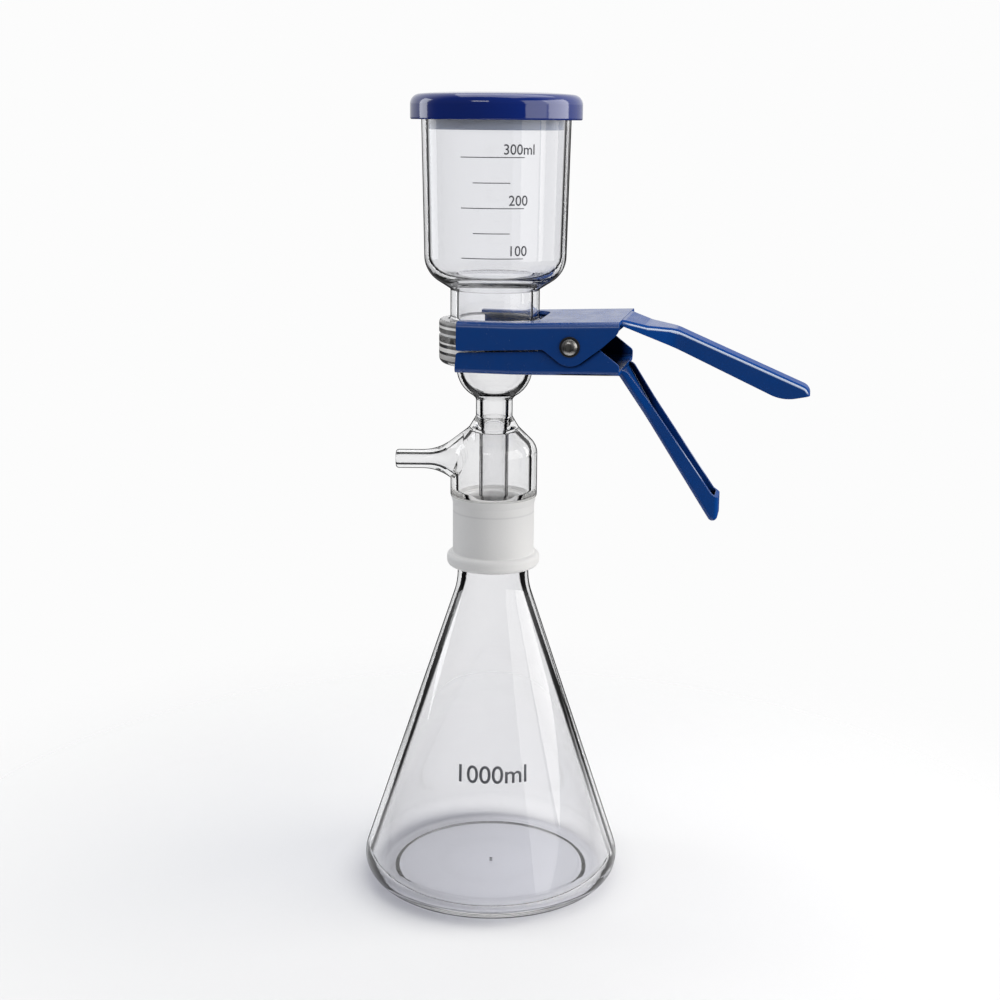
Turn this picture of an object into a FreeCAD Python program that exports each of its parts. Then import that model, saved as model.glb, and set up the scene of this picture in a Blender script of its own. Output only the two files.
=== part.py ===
"""Vacuum filtration unit: conical flask, glass filter head, funnel cup, lid and spring clamp.

The frame is the flask's own: the origin is the middle of its base on the bench, +Z runs up the glass
axis, and the clamp's handles point along +X. Lengths are millimetres, angles are degrees.
"""
import FreeCAD, Part

import math
import os

import Sketcher
from FreeCAD import Placement, Rotation, Vector

doc = FreeCAD.newDocument("vacuum_filtration_unit")
sheet = doc.addObject("Spreadsheet::Sheet", "Sizes")


# ---- Sizes that know their formula ---------------------------------------------------------------

class Size:
    """A length: its number, and the formula over the sheet's cells that gives the same number."""

    def __init__(self, number, formula):
        self.number = float(number)
        self.formula = formula

    def __add__(self, other):
        other = as_size(other)
        return Size(self.number + other.number, f"({self.formula} + {other.formula})")

    def __sub__(self, other):
        other = as_size(other)
        return Size(self.number - other.number, f"({self.formula} - {other.formula})")

    def __mul__(self, other):
        other = as_size(other)
        return Size(self.number * other.number, f"({self.formula} * {other.formula})")

    def __truediv__(self, other):
        other = as_size(other)
        return Size(self.number / other.number, f"({self.formula} / {other.formula})")

    def __neg__(self):
        return Size(-self.number, f"(-1 * {self.formula})")

    def tangent(self):
        return Size(math.tan(math.radians(self.number)), f"tan({self.formula} * 1deg)")

    def cosine(self):
        return Size(math.cos(math.radians(self.number)), f"cos({self.formula} * 1deg)")

    def slant(self):
        """Length along a slope that runs this far across for each unit up."""
        return Size(math.hypot(1, self.number), f"sqrt(1 + {self.formula} ^ 2)")


def as_size(value):
    return value if isinstance(value, Size) else Size(value, repr(float(value)))


def size(alias, value):
    """Write one driving dimension into the sheet under its alias, and return it."""
    size.row += 1
    cell = f"A{size.row}"
    sheet.set(cell, str(value))
    sheet.setAlias(cell, alias)
    return Size(value, f"Sizes.{alias}")


size.row = 0

# Flask
flask_foot_radius = size("flask_foot_radius", 72.0)       # where the cone's wall would meet the bench
flask_heel_round = size("flask_heel_round", 11.7)
flask_neck_radius = size("flask_neck_radius", 18.4)
flask_neck_height = size("flask_neck_height", 162.0)      # where the cone would meet the neck
flask_neck_blend = size("flask_neck_blend", 34.0)
flask_wall = size("flask_wall", 3.9)
flask_floor = size("flask_floor", 3.2)
foot_width = size("foot_width", 20.5)                     # from that corner in to the raised base
punt_step = size("punt_step", 2.0)                        # run of the slope from the foot up to the base
punt_rise = size("punt_rise", 2.2)
punt_radius = flask_foot_radius - foot_width

# Ground joint between the flask and the filter head
joint_start = size("joint_start", 9.5)                    # above the corner of the flask's cone and neck
joint_length = size("joint_length", 36.5)
joint_taper = size("joint_taper", 1.9)                    # radius lost from its bottom to its top
joint_wall = size("joint_wall", 2.5)
joint_clearance = size("joint_clearance", 0.3)
joint_bottom = flask_neck_height + joint_start
joint_top = joint_bottom + joint_length
joint_large_radius = flask_neck_radius
joint_small_radius = joint_large_radius - joint_taper
flask_neck_bore = joint_small_radius - joint_wall

# Filter head, from its ground sleeve up to its bowl
sleeve_wall = size("sleeve_wall", 2.25)                   # ground sleeve, at its large end
bead_width = size("bead_width", 2.95)
bead_height = size("bead_height", 6.9)
shoulder_drop = size("shoulder_drop", 3.4)                # ground sleeve's top edge, below the joint's
bell_step = size("bell_step", 4.4)
bell_width = size("bell_width", 1.25)                     # bell's side, out from the sleeve's
bell_wall = size("bell_wall", 3.8)
bell_height = size("bell_height", 25.4)                   # up to where it would meet its shoulder
bell_shoulder_round = size("bell_shoulder_round", 10.0)
bell_shoulder_wall = size("bell_shoulder_wall", 4.9)      # the sloping shoulder, measured level
bell_roof_wall = size("bell_roof_wall", 2.9)
stem_radius = size("stem_radius", 9.3)
stem_wall = size("stem_wall", 3.3)
collar_width = size("collar_width", 3.3)
collar_height = size("collar_height", 15.2)
stem_length = size("stem_length", 8.7)                    # collar to the lowest level of the bowl
stem_flare_start = size("stem_flare_start", 0.3)          # above the bowl's lowest level
stem_flare = size("stem_flare", 4.0)                      # how far the stem opens into the bowl
drip_tube_wall = size("drip_tube_wall", 1.4)
drip_tube_recess = size("drip_tube_recess", 8.5)          # tube's end above the joint's
arm_rise = size("arm_rise", 17.9)                         # side arm above the bell's foot
arm_length = size("arm_length", 28.0)                     # from the bell's side to the arm's tip
arm_radius = size("arm_radius", 4.85)
arm_bore = size("arm_bore", 2.5)
arm_flare_length = size("arm_flare_length", 6.3)          # from the bell's side
arm_flare_angle = size("arm_flare_angle", 37.0)
arm_flare_round = size("arm_flare_round", 24.0)
arm_wall_taper = size("arm_wall_taper", 2.0)              # bore starts to open this much nearer the bell
arm_turn = size("arm_turn", 11.0)                         # side arm, round from -X
head_joint_radius = joint_large_radius + joint_clearance + sleeve_wall
bead_radius = head_joint_radius + bead_width
bell_radius = head_joint_radius + bell_width
collar_radius = stem_radius + collar_width
stem_bore = stem_radius - stem_wall
drip_tube_radius = stem_bore + drip_tube_wall
joint_shoulder = joint_top - shoulder_drop
bell_bottom = joint_shoulder + bell_step
bell_top = bell_bottom + bell_height
collar_top = bell_top + collar_height
bowl_bottom = collar_top + stem_length
drip_tube_end = joint_bottom + drip_tube_recess
arm_height = bell_bottom + arm_rise
arm_tip = bell_radius + arm_length
arm_flare_start = bell_radius + arm_flare_length

# Clamped joint between head and cup: radii follow the cup's bore, heights follow the bowl
cup_neck_bore = size("cup_neck_bore", 18.4)
cup_neck_wall = size("cup_neck_wall", 3.95)
flange_width = size("flange_width", 5.65)
head_flange_thickness = size("head_flange_thickness", 14.3)
cup_flange_thickness = size("cup_flange_thickness", 6.4)
gasket_thickness = size("gasket_thickness", 1.2)
gasket_bore_gap = size("gasket_bore_gap", 0.4)
gasket_inset = size("gasket_inset", 0.5)
frit_ledge = size("frit_ledge", 2.6)                      # disc's edge past the cup's bore
frit_thickness = size("frit_thickness", 5.0)
frit_clearance = size("frit_clearance", 0.1)
membrane_ledge = size("membrane_ledge", 2.5)              # membrane's edge past the disc
membrane_thickness = size("membrane_thickness", 0.15)
membrane_clearance = size("membrane_clearance", 0.1)
bowl_inset = size("bowl_inset", 1.8)                      # bowl's side, in from the disc's
bowl_height = size("bowl_height", 18.8)
bowl_round = size("bowl_round", 16.0)
bowl_wall = size("bowl_wall", 2.9)
cup_neck_radius = cup_neck_bore + cup_neck_wall
flange_radius = cup_neck_radius + flange_width
gasket_bore = cup_neck_bore + gasket_bore_gap
frit_radius = cup_neck_bore + frit_ledge
membrane_radius = frit_radius + membrane_ledge
bowl_radius = frit_radius - bowl_inset
head_flange_bottom = bowl_bottom + bowl_height
head_flange_top = head_flange_bottom + head_flange_thickness
gasket_top = head_flange_top + gasket_thickness
cup_flange_top = gasket_top + cup_flange_thickness

# Funnel cup
cup_neck_length = size("cup_neck_length", 15.2)           # flange to the shoulder
cup_shoulder_width = size("cup_shoulder_width", 12.9)
cup_shoulder_rise = size("cup_shoulder_rise", 8.2)
cup_shoulder_round = size("cup_shoulder_round", 14.5)
cup_taper = size("cup_taper", 1.7)                        # radius gained from the shoulder to the rim
cup_floor_rise = size("cup_floor_rise", 5.2)              # neck's end to the inside floor
cup_floor_fall = size("cup_floor_fall", 2.4)              # inside floor, from the wall down to the neck
cup_neck_flare = size("cup_neck_flare", 4.0)              # height over which the bore opens out
cup_height = size("cup_height", 91.8)                     # neck's end to the rim
cup_wall = size("cup_wall", 2.8)
cup_bottom_radius = cup_neck_radius + cup_shoulder_width
cup_top_radius = cup_bottom_radius + cup_taper
cup_neck_top = cup_flange_top + cup_neck_length
cup_floor = cup_neck_top + cup_floor_rise
cup_rim = cup_neck_top + cup_height

# Lid
lid_side_gap = size("lid_side_gap", 2.8)                  # cup's rim to the skirt
lid_rise = size("lid_rise", 3.2)                          # crown above the cup's rim
lid_skirt_drop = size("lid_skirt_drop", 9.7)              # skirt's edge below the cup's rim
lid_skirt_wall = size("lid_skirt_wall", 2.4)
lid_corner = size("lid_corner", 4.8)
lid_crown = size("lid_crown", 1.1)
lid_crown_width = size("lid_crown_width", 14.0)           # from the lid's side to its flat middle
lid_crown_round = size("lid_crown_round", 60.0)
lid_plug_depth = size("lid_plug_depth", 14.4)
lid_plug_wall = size("lid_plug_wall", 2.2)
lid_plug_clearance = size("lid_plug_clearance", 0.8)
lid_radius = cup_top_radius + lid_side_gap + lid_skirt_wall
lid_top = cup_rim + lid_rise
lid_skirt_bottom = cup_rim - lid_skirt_drop

# Clamp
clamp_sheet = size("clamp_sheet", 1.8)
clamp_fold = size("clamp_fold", 3.2)
clamp_side_gap = size("clamp_side_gap", 0.3)              # flange rim to the lower jaw's cheek
clamp_nest_gap = size("clamp_nest_gap", 0.2)              # lower jaw's cheek to the upper jaw's cheek
upper_reach = size("upper_reach", 13.0)
lower_reach = size("lower_reach", 15.0)
pin_place = size("pin_place", 43.0)
pin_drop = size("pin_drop", 1.0)                          # pin's axis below the head's rim
jaw_tail = size("jaw_tail", 23.6)                         # pin to the end of both jaws
jaw_bend = size("jaw_bend", 15.0)                         # from here back both webs rise a little
jaw_bend_round = size("jaw_bend_round", 60.0)
upper_rise = size("upper_rise", 2.4)                      # degrees
lower_rise = size("lower_rise", 1.4)                      # degrees
upper_cheek_drop = size("upper_cheek_drop", 3.8)          # cheek's edge at the prongs, below the pin
lower_cheek_drop = size("lower_cheek_drop", 5.0)
lower_cheek_inset = size("lower_cheek_inset", 1.6)        # its corner at the prongs, back from the end
cheek_edge_rise = size("cheek_edge_rise", 2.7)            # degrees
cheek_corner = size("cheek_corner", 1.2)
cheek_blend = size("cheek_blend", 2.5)                    # where a cheek's edge meets its ear
notch_gap = size("notch_gap", 1.65)                       # cup's neck to the notch's sides
notch_depth = size("notch_depth", 2.0)                    # how much deeper the notch is than wide
notch_corner = size("notch_corner", 11.0)
ear_slope = size("ear_slope", 37.5)
upper_ear_radius = size("upper_ear_radius", 9.4)
lower_ear_radius = size("lower_ear_radius", 7.6)
ear_length = size("ear_length", 16.0)                     # pin to the end of the upper ear's slope
ear_round = size("ear_round", 20.0)
tail_depth = size("tail_depth", 3.0)                      # upper cheek where the handle starts
tail_round = size("tail_round", 6.0)
handle_overlap = size("handle_overlap", 6.6)              # handle's sheet along the jaw's
handle_fold = size("handle_fold", 2.2)
blank_margin = size("blank_margin", 8.0)                  # sheet left on a blank before it is trimmed
cutter_length = size("cutter_length", 400.0)              # past the end of anything it has to reach
notch_half_width = cup_neck_radius + notch_gap
notch_end = notch_half_width + notch_depth
lower_notch_end = flange_radius + clamp_side_gap          # clear of the flange, as the web rises here
jaw_end = pin_place + jaw_tail
handle_joint = jaw_end - handle_overlap
pin_height = head_flange_top - pin_drop
upper_cheek_edge = pin_height - upper_cheek_drop
lower_cheek_edge = pin_height - lower_cheek_drop
lower_half = flange_radius + clamp_side_gap + clamp_sheet
upper_half = lower_half + clamp_nest_gap + clamp_sheet
upper_web = cup_flange_top + clamp_sheet                  # top face of the upper jaw
lower_web = head_flange_bottom - clamp_sheet              # bottom face of the lower jaw

# Clamp's upper handle
upper_blank_depth = size("upper_blank_depth", 22.0)
upper_root_half = size("upper_root_half", 21.0)
upper_root_round = size("upper_root_round", 9.0)
upper_waist_round = size("upper_waist_round", 16.0)
upper_grip_half = size("upper_grip_half", 8.3)
upper_tip_half = size("upper_tip_half", 6.8)
upper_dip_length = size("upper_dip_length", 11.4)         # jaw's end to the lowest of the dip
upper_dip_drop = size("upper_dip_drop", 1.1)              # below the jaw's flat web
upper_dip_round = size("upper_dip_round", 14.0)
upper_bend_length = size("upper_bend_length", 24.9)       # jaw's end to the bend
upper_bend_drop = size("upper_bend_drop", 2.9)
upper_bend_round = size("upper_bend_round", 22.0)
upper_slope = size("upper_slope", 22.6)
upper_grip_length = size("upper_grip_length", 65.9)       # bend to tip, level
upper_tip_round = size("upper_tip_round", 5.0)
upper_step = size("upper_step", 4.6)                      # shallow edge before the handle deepens
upper_step_round = size("upper_step_round", 2.0)
upper_edge_length = size("upper_edge_length", 13.0)       # back from the tip, where the edge turns up
upper_edge_depth = size("upper_edge_depth", 6.2)          # below the tip's top at that turn
upper_edge_round = size("upper_edge_round", 20.0)
upper_edge_height = size("upper_edge_height", 4.3)        # from the turn to past the tip
upper_dip = jaw_end + upper_dip_length
upper_bend = jaw_end + upper_bend_length
upper_tip = upper_bend + upper_grip_length

# Clamp's lower handle
lower_blank_depth = size("lower_blank_depth", 16.0)
lower_root_half = size("lower_root_half", 17.0)
lower_root_round = size("lower_root_round", 5.0)
lower_waist_length = size("lower_waist_length", 14.0)     # jaw's end to the narrow grip
lower_grip_half = size("lower_grip_half", 11.2)
lower_tip_half = size("lower_tip_half", 7.8)
lower_bend_length = size("lower_bend_length", 2.6)        # jaw's end back to the bend
lower_bend_round = size("lower_bend_round", 5.0)
lower_back_round = size("lower_back_round", 20.0)
lower_slope = size("lower_slope", 57.5)
lower_grip_length = size("lower_grip_length", 51.1)       # bend to tip, level
lower_tip_round = size("lower_tip_round", 2.5)
lower_edge_gap = size("lower_edge_gap", 0.6)              # jaw's sheet to the handle's edge
lower_edge_start = size("lower_edge_start", 2.0)          # past the jaw's end
lower_edge_round = size("lower_edge_round", 4.0)
lower_turn_round = size("lower_turn_round", 3.5)
lower_turn_length = size("lower_turn_length", 3.0)        # back from the tip
lower_turn_height = size("lower_turn_height", 19.8)       # above the tip's low corner
lower_edge_depth = size("lower_edge_depth", 6.7)          # from the turn to past the tip
lower_bend = jaw_end - lower_bend_length
lower_tip = lower_bend + lower_grip_length

# Pin, washers, clip, sleeve and spring
pin_radius = size("pin_radius", 2.2)
pin_head_radius = size("pin_head_radius", 3.85)
pin_head_height = size("pin_head_height", 1.7)
pin_fit = size("pin_fit", 0.05)
washer_width = size("washer_width", 2.8)                  # washer's rim past the pin
washer_thickness = size("washer_thickness", 0.7)
clip_width = size("clip_width", 1.7)                      # clip's rim past the pin
clip_thickness = size("clip_thickness", 0.6)
clip_fit = size("clip_fit", 0.1)                          # groove's length past the clip's
clip_groove_depth = size("clip_groove_depth", 0.6)
pin_tail = size("pin_tail", 1.0)
sleeve_thickness = size("sleeve_thickness", 2.2)
sleeve_gap = size("sleeve_gap", 0.3)
spring_wire = size("spring_wire", 1.8)
spring_turns = size("spring_turns", 5.0)                  # whole turns, before the last half turn
spring_pitch = size("spring_pitch", 2.1)
spring_upper_tilt = size("spring_upper_tilt", 12.0)
spring_lower_tilt = size("spring_lower_tilt", 20.0)
spring_rest = size("spring_rest", 0.05)                   # arm end to the web it bears on
spring_gap = size("spring_gap", 0.6)                      # sleeve to the inside of the coil
washer_radius = pin_radius + washer_width
clip_radius = pin_radius + clip_width
clip_groove_radius = pin_radius - clip_groove_depth
sleeve_radius = pin_radius + sleeve_thickness


# ---- Drawing and feature helpers ----------------------------------------------------------------

def draw_outline(sketch, corners):
    """Close a loop through the corners, each given as (across, up, corner radius).

    A corner is held by its two distances from the sketch's origin and a rounded one by its radius too,
    with the arc tangent to both of its sides, so the outline follows the sheet.
    """
    corners = [(as_size(across), as_size(up), as_size(radius)) for across, up, radius in corners]
    points = [Vector(across.number, up.number, 0) for across, up, radius in corners]
    count = len(corners)
    arrive, leave, arcs = [], [], []
    for i, (across, up, radius) in enumerate(corners):
        before = (points[i] - points[i - 1]).normalize()
        after = (points[(i + 1) % count] - points[i]).normalize()
        if radius.number == 0:
            arrive.append(points[i])
            leave.append(points[i])
            arcs.append(None)
            continue
        turn = before.getAngle(after)
        left = before.cross(after).z > 0
        cut = radius.number * math.tan(turn / 2)
        start, end = points[i] - before * cut, points[i] + after * cut
        side = Vector(-before.y, before.x, 0) * (1 if left else -1)
        centre = start + side * radius.number
        first, last = (start, end) if left else (end, start)
        angles = [math.atan2(p.y - centre.y, p.x - centre.x) for p in (first, last)]
        circle = Part.Circle(centre, Vector(0, 0, 1), radius.number)
        arcs.append(Part.ArcOfCircle(circle, angles[0], angles[1]))
        arrive.append(start)
        leave.append(end)

    sides = [Part.LineSegment(leave[i], arrive[(i + 1) % count]) for i in range(count)]
    sketch.addGeometry(sides, False)
    constraints, formulas = [], []

    def hold(kind, geometry, vertex, value):
        constraints.append(Sketcher.Constraint(kind, -1, 1, geometry, vertex, value.number))
        formulas.append((len(constraints) - 1, value.formula))

    for i, (across, up, radius) in enumerate(corners):
        side_in, side_out = (i - 1) % count, i
        if arcs[i] is None:
            constraints.append(Sketcher.Constraint("Coincident", side_in, 2, side_out, 1))
            hold("DistanceX", side_out, 1, across)
            hold("DistanceY", side_out, 1, up)
            continue
        arc = sketch.addGeometry(arcs[i], False)
        left = (arrive[i] - arcs[i].StartPoint).Length < 1e-6
        into, out_of = (1, 2) if left else (2, 1)
        corner = sketch.addGeometry(Part.Point(points[i]), True)
        constraints.append(Sketcher.Constraint("Tangent", side_in, 2, arc, into))
        constraints.append(Sketcher.Constraint("Tangent", arc, out_of, side_out, 1))
        constraints.append(Sketcher.Constraint("PointOnObject", corner, 1, side_in))
        constraints.append(Sketcher.Constraint("PointOnObject", corner, 1, side_out))
        hold("DistanceX", corner, 1, across)
        hold("DistanceY", corner, 1, up)
        constraints.append(Sketcher.Constraint("Radius", arc, radius.number))
        formulas.append((len(constraints) - 1, radius.formula))
    sketch.addConstraint(constraints)
    for index, formula in formulas:
        sketch.setExpression(f"Constraints[{index}]", formula)


def make_body(label):
    body = doc.addObject("PartDesign::Body", label)
    body.Label = label
    return body


def origin_plane(body, role):
    return next(item for item in body.Origin.OriginFeatures if item.Role == role)


def body_sketch(body, name, corners, height=None):
    """Draw an outline on the body's XZ plane, raised by height where one is given."""
    sketch = body.newObject("Sketcher::SketchObject", name)
    sketch.AttachmentSupport = [(origin_plane(body, "XZ_Plane"), "")]
    sketch.MapMode = "FlatFace"
    if height is not None:
        sketch.setExpression("AttachmentOffset.Base.y", height.formula)
    draw_outline(sketch, corners)
    return sketch


def turn_solid(body, kind, name, corners, axis="V_Axis", height=None):
    """Add (Revolution) or cut (Groove) a full turn of the outline about the sketch's axis."""
    sketch = body_sketch(body, name + "_outline", corners, height)
    feature = body.newObject("PartDesign::" + kind, name)
    feature.Profile = sketch
    feature.ReferenceAxis = (sketch, [axis])
    feature.Angle = 360.0
    return feature


def bind(item, property_name, value):
    item.setExpression(property_name, as_size(value).formula)


def make_disc(label, radius, bottom, thickness):
    disc = doc.addObject("Part::Cylinder", label)
    disc.Label = label
    bind(disc, "Radius", radius)
    bind(disc, "Height", thickness)
    bind(disc, "Placement.Base.z", bottom)
    return disc


# ---- Flask --------------------------------------------------------------------------------------

def make_flask():
    """Conical flask, blown in one piece, with a raised base and a ground cone at its mouth."""
    body = make_body("flask")
    slope = (flask_foot_radius - flask_neck_radius) / flask_neck_height
    inner_foot = flask_foot_radius - flask_wall * slope.slant()
    floor = punt_rise + flask_floor
    turn_solid(body, "Revolution", "flask_wall_of_glass", [
        (0, punt_rise, 0),
        (punt_radius - punt_step, punt_rise, 0.8),
        (punt_radius, 0, 0.8),
        (flask_foot_radius, 0, flask_heel_round),
        (flask_neck_radius, flask_neck_height, flask_neck_blend),
        (joint_large_radius, joint_bottom, 0),
        (joint_small_radius, joint_top, 1.0),
        (flask_neck_bore, joint_top, 1.0),
        (flask_neck_bore, (inner_foot - flask_neck_bore) / slope, flask_neck_blend - flask_wall),
        (inner_foot - floor * slope, floor, flask_heel_round - flask_wall),
        (0, floor, 0),
    ])
    return body


# ---- Filter head --------------------------------------------------------------------------------

def make_filter_head():
    """Filter head in one piece of glass: flange, bowl, stem, bell, side arm, drip tube, ground sleeve."""
    body = make_body("filter_head")
    shoulder_top = bell_top + bell_radius - collar_radius
    flare_start = bowl_bottom + stem_flare_start
    turn_solid(body, "Revolution", "head_form", [
        (0, joint_bottom, 0),
        (bead_radius, joint_bottom, 2.6),
        (bead_radius, joint_bottom + bead_height, 2.2),
        (head_joint_radius, joint_bottom + bead_height, 0.9),
        (head_joint_radius, joint_shoulder, 1.6),
        (bell_radius, bell_bottom, 3.0),
        (bell_radius, bell_top, bell_shoulder_round),
        (collar_radius, shoulder_top, 1.5),
        (stem_radius, collar_top, 1.5),
        (stem_radius, flare_start, 2.0),
        (stem_radius + stem_flare, flare_start + stem_flare, 0),
        (stem_radius + stem_flare, head_flange_bottom, 0),
        (flange_radius, head_flange_bottom, 3.0),
        (flange_radius, head_flange_top, 0.6),
        (0, head_flange_top, 0),
    ])

    turn_solid(body, "Revolution", "bowl_form", [
        (0, bowl_bottom, 0),
        (bowl_radius, bowl_bottom, bowl_round),
        (bowl_radius, head_flange_bottom + bowl_wall, 0),
        (0, head_flange_bottom + bowl_wall, 0),
    ])

    flare_run = arm_flare_start - stem_radius
    flare = arm_radius + flare_run * arm_flare_angle.tangent()
    turn_solid(body, "Revolution", "arm_form", [
        (-arm_tip, 0, 0),
        (-arm_tip, arm_radius, 1.6),
        (-arm_flare_start, arm_radius, arm_flare_round),
        (flare_run - arm_flare_start, flare, 0),
        (flare_run - arm_flare_start, 0, 0),
    ], axis="H_Axis", height=arm_height)

    seat_radius = frit_radius + frit_clearance
    seat_floor = head_flange_top - frit_thickness
    bowl_bore = bowl_radius - bowl_wall
    turn_solid(body, "Groove", "bowl_inside", [
        (0, bowl_bottom + bowl_wall, 0),
        (bowl_bore, bowl_bottom + bowl_wall, bowl_round - bowl_wall),
        (bowl_bore, seat_floor, 0.6),
        (seat_radius, seat_floor, 0),
        (seat_radius, head_flange_top + 1, 0),
        (0, head_flange_top + 1, 0),
    ])
    turn_solid(body, "Groove", "stem_bore_cut", [
        (0, joint_bottom - 1, 0),
        (stem_bore, joint_bottom - 1, 0),
        (stem_bore, flare_start + 1, 1.5),
        (stem_bore + stem_flare, flare_start + stem_flare + 1, 0),
        (0, flare_start + stem_flare + 1, 0),
    ])

    bell_bore = bell_radius - bell_wall
    shoulder_line = bell_top + bell_radius - bell_shoulder_wall
    ceiling = shoulder_top - bell_roof_wall
    sleeve_small = joint_small_radius + joint_clearance
    sleeve_large = joint_large_radius + joint_clearance
    turn_solid(body, "Groove", "bell_inside", [
        (0, joint_bottom - 1, 0),
        (0, drip_tube_end, 0),
        (drip_tube_radius, drip_tube_end, 0),
        (drip_tube_radius, ceiling, 1.0),
        (shoulder_line - ceiling, ceiling, 1.2),
        (bell_bore, shoulder_line - bell_bore, bell_shoulder_round - bell_wall),
        (bell_bore, bell_bottom + bell_roof_wall, 2.0),
        (sleeve_small, joint_top, 0.8),
        (sleeve_large, joint_bottom, 0),
        (sleeve_large, joint_bottom - 1, 0),
    ])

    inner_start = arm_flare_start - arm_wall_taper
    inner_run = inner_start - collar_radius - arm_wall_taper
    turn_solid(body, "Groove", "arm_inside", [
        (-arm_tip - 1, 0, 0),
        (-arm_tip - 1, arm_bore, 0),
        (-inner_start, arm_bore, arm_flare_round - arm_radius),
        (inner_run - inner_start, arm_bore + inner_run * arm_flare_angle.tangent(), 0),
        (inner_run - inner_start, 0, 0),
    ], axis="H_Axis", height=arm_height)
    body.setExpression("Placement.Rotation.Angle", f"{arm_turn.formula} * 1deg")
    return body


# ---- Filter disc, membrane and gasket -----------------------------------------------------------

def make_gasket():
    """PTFE ring under the cup, with a shallow rebate that the membrane's edge lies in."""
    body = make_body("flange_gasket")
    rim = membrane_radius + membrane_clearance
    ceiling = head_flange_top + membrane_thickness
    turn_solid(body, "Revolution", "gasket_ring", [
        (gasket_bore, ceiling, 0),
        (rim, ceiling, 0),
        (rim, head_flange_top, 0),
        (flange_radius - gasket_inset, head_flange_top, 0.2),
        (flange_radius - gasket_inset, gasket_top, 0.2),
        (gasket_bore, gasket_top, 0),
    ])
    return body


# ---- Funnel cup and lid -------------------------------------------------------------------------

def make_funnel_cup():
    """Tapered glass cup, blown in one piece with its neck and its ground flange."""
    body = make_body("funnel_cup")
    outer_foot = cup_neck_top + cup_shoulder_rise
    turn_solid(body, "Revolution", "cup_wall_of_glass", [
        (cup_neck_bore, gasket_top, 0.5),
        (flange_radius, gasket_top, 0.6),
        (flange_radius, cup_flange_top, 1.4),
        (cup_neck_radius, cup_flange_top, 1.6),
        (cup_neck_radius, cup_neck_top, 1.2),
        (cup_bottom_radius, outer_foot, cup_shoulder_round),
        (cup_top_radius, cup_rim, 1.3),
        (cup_top_radius - cup_wall, cup_rim, 1.3),
        (cup_bottom_radius - cup_wall, cup_floor + cup_floor_fall, cup_shoulder_round - cup_wall - 1),
        (cup_neck_bore + 1.2, cup_floor, 1.6),
        (cup_neck_bore, cup_floor - cup_neck_flare, 3.0),
    ])
    return body


def make_lid():
    """Moulded cap that stands on the cup's rim, with a skirt outside and a plug ring inside."""
    body = make_body("lid")
    skirt_inside = lid_radius - lid_skirt_wall
    plug_outside = cup_top_radius - cup_wall - lid_plug_clearance
    plug_inside = plug_outside - lid_plug_wall
    plug_bottom = cup_rim - lid_plug_depth
    turn_solid(body, "Revolution", "lid_shell", [
        (0, lid_top, 0),
        (lid_radius - lid_crown_width, lid_top, lid_crown_round),
        (lid_radius, lid_top - lid_crown, lid_corner),
        (lid_radius, lid_skirt_bottom, 0.8),
        (skirt_inside, lid_skirt_bottom, 0.5),
        (skirt_inside, cup_rim, 1.0),
        (plug_outside, cup_rim, 0),
        (plug_outside, plug_bottom, 0.6),
        (plug_inside, plug_bottom, 0.6),
        (plug_inside, cup_rim, 1.0),
        (0, cup_rim, 0),
    ])
    return body


# ---- Clamp --------------------------------------------------------------------------------------

BENCH = as_size(0)

PLANES = {
    "XY": (Rotation(), Vector(0, 0, 1)),
    "XZ": (Rotation(Vector(1, 0, 0), 90), Vector(0, 1, 0)),
}


def extrude(name, outline, plane, low, high):
    solid = doc.addObject("Part::Extrusion", name)
    solid.Base = outline
    solid.DirMode = "Custom"
    solid.Dir = PLANES[plane][1]
    solid.Solid = True
    bind(solid, "LengthFwd", high)
    bind(solid, "LengthRev", -low)
    return solid


def outline_on(name, plane, corners):
    sketch = doc.addObject("Sketcher::SketchObject", name)
    sketch.Placement = Placement(Vector(), PLANES[plane][0])
    draw_outline(sketch, corners)
    return sketch


def slab(name, plane, corners, low=-cutter_length, high=cutter_length):
    """The outline carried square to its plane from low to high."""
    return extrude(name, outline_on(name + "_outline", plane, corners), plane, low, high)


def thinned(name, plane, outline):
    """The same slab with its outline moved in by one thickness of the clamp's sheet."""
    inner = doc.addObject("Part::Offset2D", name + "_offset")
    inner.Source = outline
    inner.Join = "Intersection"
    bind(inner, "Value", -clamp_sheet)
    return extrude(name, inner, plane, -cutter_length, cutter_length)


def combine(kind, name, pieces):
    solid = doc.addObject("Part::" + kind, name)
    solid.Shapes = pieces
    return solid


def pair(kind, name, base, tool):
    solid = doc.addObject("Part::" + kind, name)
    solid.Base = base
    solid.Tool = tool
    return solid


def mirrored(half_outline):
    """A plan symmetric about the X axis, from its corners on the +Y side taken towards +X."""
    other = [(x, -as_size(y), radius) for x, y, radius in half_outline]
    return other + half_outline[::-1]


def fork_plan(reach, end):
    """Plan of a jaw: a fork that slides round the glass, its notch running from the prongs to end."""
    wide = upper_half + blank_margin
    front = -reach - blank_margin
    return [
        (front, -wide, 0),
        (jaw_end, -wide, 0),
        (jaw_end, wide, 0),
        (front, wide, 0),
        (front, notch_half_width, 0),
        (end, notch_half_width, notch_corner),
        (end, -notch_half_width, notch_corner),
        (front, -notch_half_width, 0),
    ]


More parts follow.
